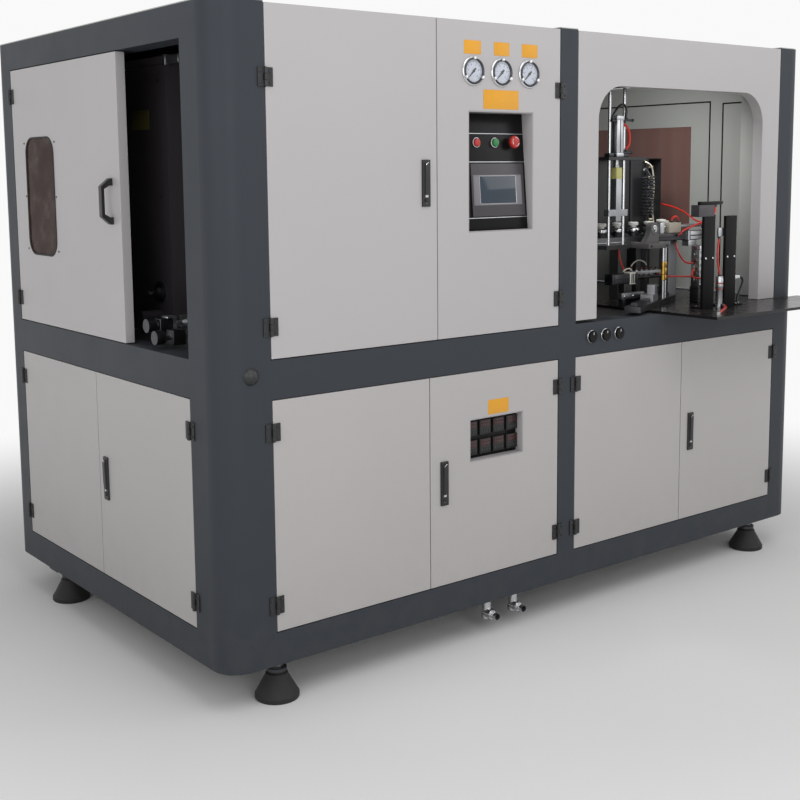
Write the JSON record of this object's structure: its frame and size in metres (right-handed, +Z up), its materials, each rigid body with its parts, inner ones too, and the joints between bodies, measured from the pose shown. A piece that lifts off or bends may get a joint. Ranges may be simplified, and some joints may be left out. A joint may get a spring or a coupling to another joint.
{
  "type": "blow moulding machine",
  "caption": "Enclosed two-stage stretch blow moulding machine: cabinet with hinged doors, control panel, oven bay behind an open window, clamp unit and outfeed table.",
  "frame": {"origin": "centre of the bounding box, on the floor under the feet", "axes": "+X along the front to the feed section, +Y from the front to the back, +Z up"},
  "size_m": [2.672, 1.865, 1.985],
  "materials": {
    "frame_paint": "satin",
    "cover_paint": "satin",
    "black_paint": "semi-gloss",
    "black_plastic": "satin",
    "table_black": "polished",
    "rubber": "matt",
    "steel": "machined",
    "bright": "polished",
    "aluminium": "satin",
    "tinted_pane": "polished",
    "lamp_glass": "polished",
    "red_plastic": "polished",
    "hose_red": "satin",
    "green_plastic": "polished",
    "screen_plastic": "satin",
    "needle_black": "matt",
    "tank_paint": "semi-gloss"
  },
  "bodies": {
    "machine": {"base_frame": "frame_paint", "posts": "frame_paint", "middle_frame": "frame_paint", "top_frame": "frame_paint", "bed_plate": "steel", "cover_panels": "cover_paint", "right_end_window": "tinted_pane", "window_panel": "cover_paint", "levelling_feet": "rubber", "frame_hardware": "black_paint", "outfeed_table": "table_black", "table_uprights": "black_paint", "inner_guard": "black_paint", "ground_rods": "bright", "oven_housing": "black_paint", "heater_lamps": "lamp_glass", "conveyor_track": "black_paint", "spindles": "steel", "loader_plates": "black_paint", "air_cylinders": "aluminium", "bearing_bracket": "steel", "valve_bank": "aluminium", "outfeed_rail": "black_paint", "electrical_plate": "steel", "air_tank": "tank_paint", "clamp_plates": "steel", "hoses": "hose_red"},
    "upper_left_door": {"upper_left_door": "cover_paint"},
    "upper_right_door": {"upper_right_door": "cover_paint", "control_box": "black_plastic", "operator_screen": "screen_plastic", "gauge_bodies": "bright"},
    "lower_left_door": {"lower_left_door": "cover_paint"},
    "lower_right_door": {"lower_right_door": "cover_paint", "temperature_controllers": "black_plastic"},
    "feed_left_door": {"feed_left_door": "cover_paint"},
    "feed_right_door": {"feed_right_door": "cover_paint"},
    "end_upper_door": {"end_upper_door": "cover_paint", "end_door_window": "tinted_pane", "end_door_handle": "black_plastic"},
    "end_far_door": {"end_far_door": "cover_paint"},
    "end_near_door": {"end_near_door": "cover_paint"},
    "stop_button": {"stop_button": "red_plastic"},
    "start_button": {"start_button": "green_plastic"},
    "emergency_stop": {"emergency_stop": "red_plastic"},
    "left_needle": {"left_needle": "needle_black"},
    "middle_needle": {"middle_needle": "needle_black"},
    "right_needle": {"right_needle": "needle_black"},
    "left_knob": {"left_knob": "black_plastic"},
    "middle_knob": {"middle_knob": "black_plastic"},
    "right_knob": {"right_knob": "black_plastic"},
    "blow_head": {"blow_head": "aluminium"},
    "base_mould": {"base_mould": "aluminium"},
    "loader_carriage": {"loader_carriage": "black_paint"},
    "transfer_carriage": {"transfer_carriage": "aluminium"},
    "outfeed_carriage": {"outfeed_carriage": "aluminium"},
    "front_platen": {"front_platen": "steel", "front_mould": "aluminium"},
    "rear_platen": {"rear_platen": "steel", "rear_mould": "aluminium"}
  },
  "joints": [
    {"name": "upper_left_door_hinge", "type": "hinge", "parent": "machine", "child": "upper_left_door", "pos_m": [-1.1345, -0.689, 1.425], "axis": [0, 0, -1], "range_deg": [0, 110]},
    {"name": "upper_right_door_hinge", "type": "hinge", "parent": "machine", "child": "upper_right_door", "pos_m": [-0.0095, -0.689, 1.425], "axis": [0, 0, 1], "range_deg": [0, 110]},
    {"name": "lower_left_door_hinge", "type": "hinge", "parent": "machine", "child": "lower_left_door", "pos_m": [-1.1345, -0.689, 0.555], "axis": [0, 0, -1], "range_deg": [0, 110]},
    {"name": "lower_right_door_hinge", "type": "hinge", "parent": "machine", "child": "lower_right_door", "pos_m": [-0.0095, -0.689, 0.555], "axis": [0, 0, 1], "range_deg": [0, 90]},
    {"name": "feed_left_door_hinge", "type": "hinge", "parent": "machine", "child": "feed_left_door", "pos_m": [0.0725, -0.689, 0.555], "axis": [0, 0, -1], "range_deg": [0, 90]},
    {"name": "feed_right_door_hinge", "type": "hinge", "parent": "machine", "child": "feed_right_door", "pos_m": [1.1855, -0.689, 0.555], "axis": [0, 0, 1], "range_deg": [0, 110]},
    {"name": "end_upper_door_hinge", "type": "hinge", "parent": "machine", "child": "end_upper_door", "pos_m": [-1.3045, 0.741, 1.425], "axis": [0, 0, -1], "range_deg": [0, 110]},
    {"name": "end_far_door_hinge", "type": "hinge", "parent": "machine", "child": "end_far_door", "pos_m": [-1.3045, 0.741, 0.555], "axis": [0, 0, -1], "range_deg": [0, 110]},
    {"name": "end_near_door_hinge", "type": "hinge", "parent": "machine", "child": "end_near_door", "pos_m": [-1.3045, -0.509, 0.555], "axis": [0, 0, 1], "range_deg": [0, 110]},
    {"name": "stop_button_press", "type": "slide", "parent": "upper_right_door", "child": "stop_button", "axis": [0, 0.9963, -0.0855], "range_m": [0, 0.004], "stiffness_N_per_m": 400, "springref_m": -0.003},
    {"name": "start_button_press", "type": "slide", "parent": "upper_right_door", "child": "start_button", "axis": [0, 0.9963, -0.0855], "range_m": [0, 0.004], "stiffness_N_per_m": 400, "springref_m": -0.003},
    {"name": "emergency_stop_press", "type": "slide", "parent": "upper_right_door", "child": "emergency_stop", "axis": [0, 0.9963, -0.0855], "range_m": [0, 0.004]},
    {"name": "left_needle_turn", "type": "hinge", "parent": "upper_right_door", "child": "left_needle", "pos_m": [-0.388, -0.6865, 1.829], "axis": [0, 1, 0], "range_deg": [0, 270]},
    {"name": "middle_needle_turn", "type": "hinge", "parent": "upper_right_door", "child": "middle_needle", "pos_m": [-0.27, -0.6865, 1.829], "axis": [0, 1, 0], "range_deg": [0, 270]},
    {"name": "right_needle_turn", "type": "hinge", "parent": "upper_right_door", "child": "right_needle", "pos_m": [-0.152, -0.6865, 1.829], "axis": [0, 1, 0], "range_deg": [0, 270]},
    {"name": "left_knob_turn", "type": "hinge", "parent": "machine", "child": "left_knob", "pos_m": [0.15, -0.6925, 0.96], "axis": [0, 1, 0], "range_deg": [0, 1080]},
    {"name": "middle_knob_turn", "type": "hinge", "parent": "machine", "child": "middle_knob", "pos_m": [0.218, -0.6925, 0.96], "axis": [0, 1, 0], "range_deg": [0, 1080]},
    {"name": "right_knob_turn", "type": "hinge", "parent": "machine", "child": "right_knob", "pos_m": [0.286, -0.6925, 0.96], "axis": [0, 1, 0], "range_deg": [0, 1080]},
    {"name": "rear_platen_slide", "type": "slide", "parent": "machine", "child": "rear_platen", "axis": [0, -1, 0], "range_m": [0, 0.08]},
    {"name": "front_platen_slide", "type": "slide", "parent": "machine", "child": "front_platen", "axis": [0, 1, 0], "range_m": [0, 0.08]},
    {"name": "base_mould_lift", "type": "slide", "parent": "machine", "child": "base_mould", "axis": [0, 0, 1], "range_m": [0, 0.05]},
    {"name": "blow_head_lower", "type": "slide", "parent": "machine", "child": "blow_head", "axis": [0, 0, 1], "range_m": [-0.025, 0]},
    {"name": "loader_lower", "type": "slide", "parent": "machine", "child": "loader_carriage", "axis": [0, 0, 1], "range_m": [-0.06, 0]},
    {"name": "transfer_slide", "type": "slide", "parent": "machine", "child": "transfer_carriage", "axis": [1, 0, 0], "range_m": [-0.9, 0]},
    {"name": "outfeed_slide", "type": "slide", "parent": "machine", "child": "outfeed_carriage", "axis": [-0.9085, -0.4179, 0], "range_m": [-0.05, 0.15]}
  ],
  "couplings": [
    {"joint": "front_platen_slide", "follows": "rear_platen_slide", "ratio": 1}
  ]
}
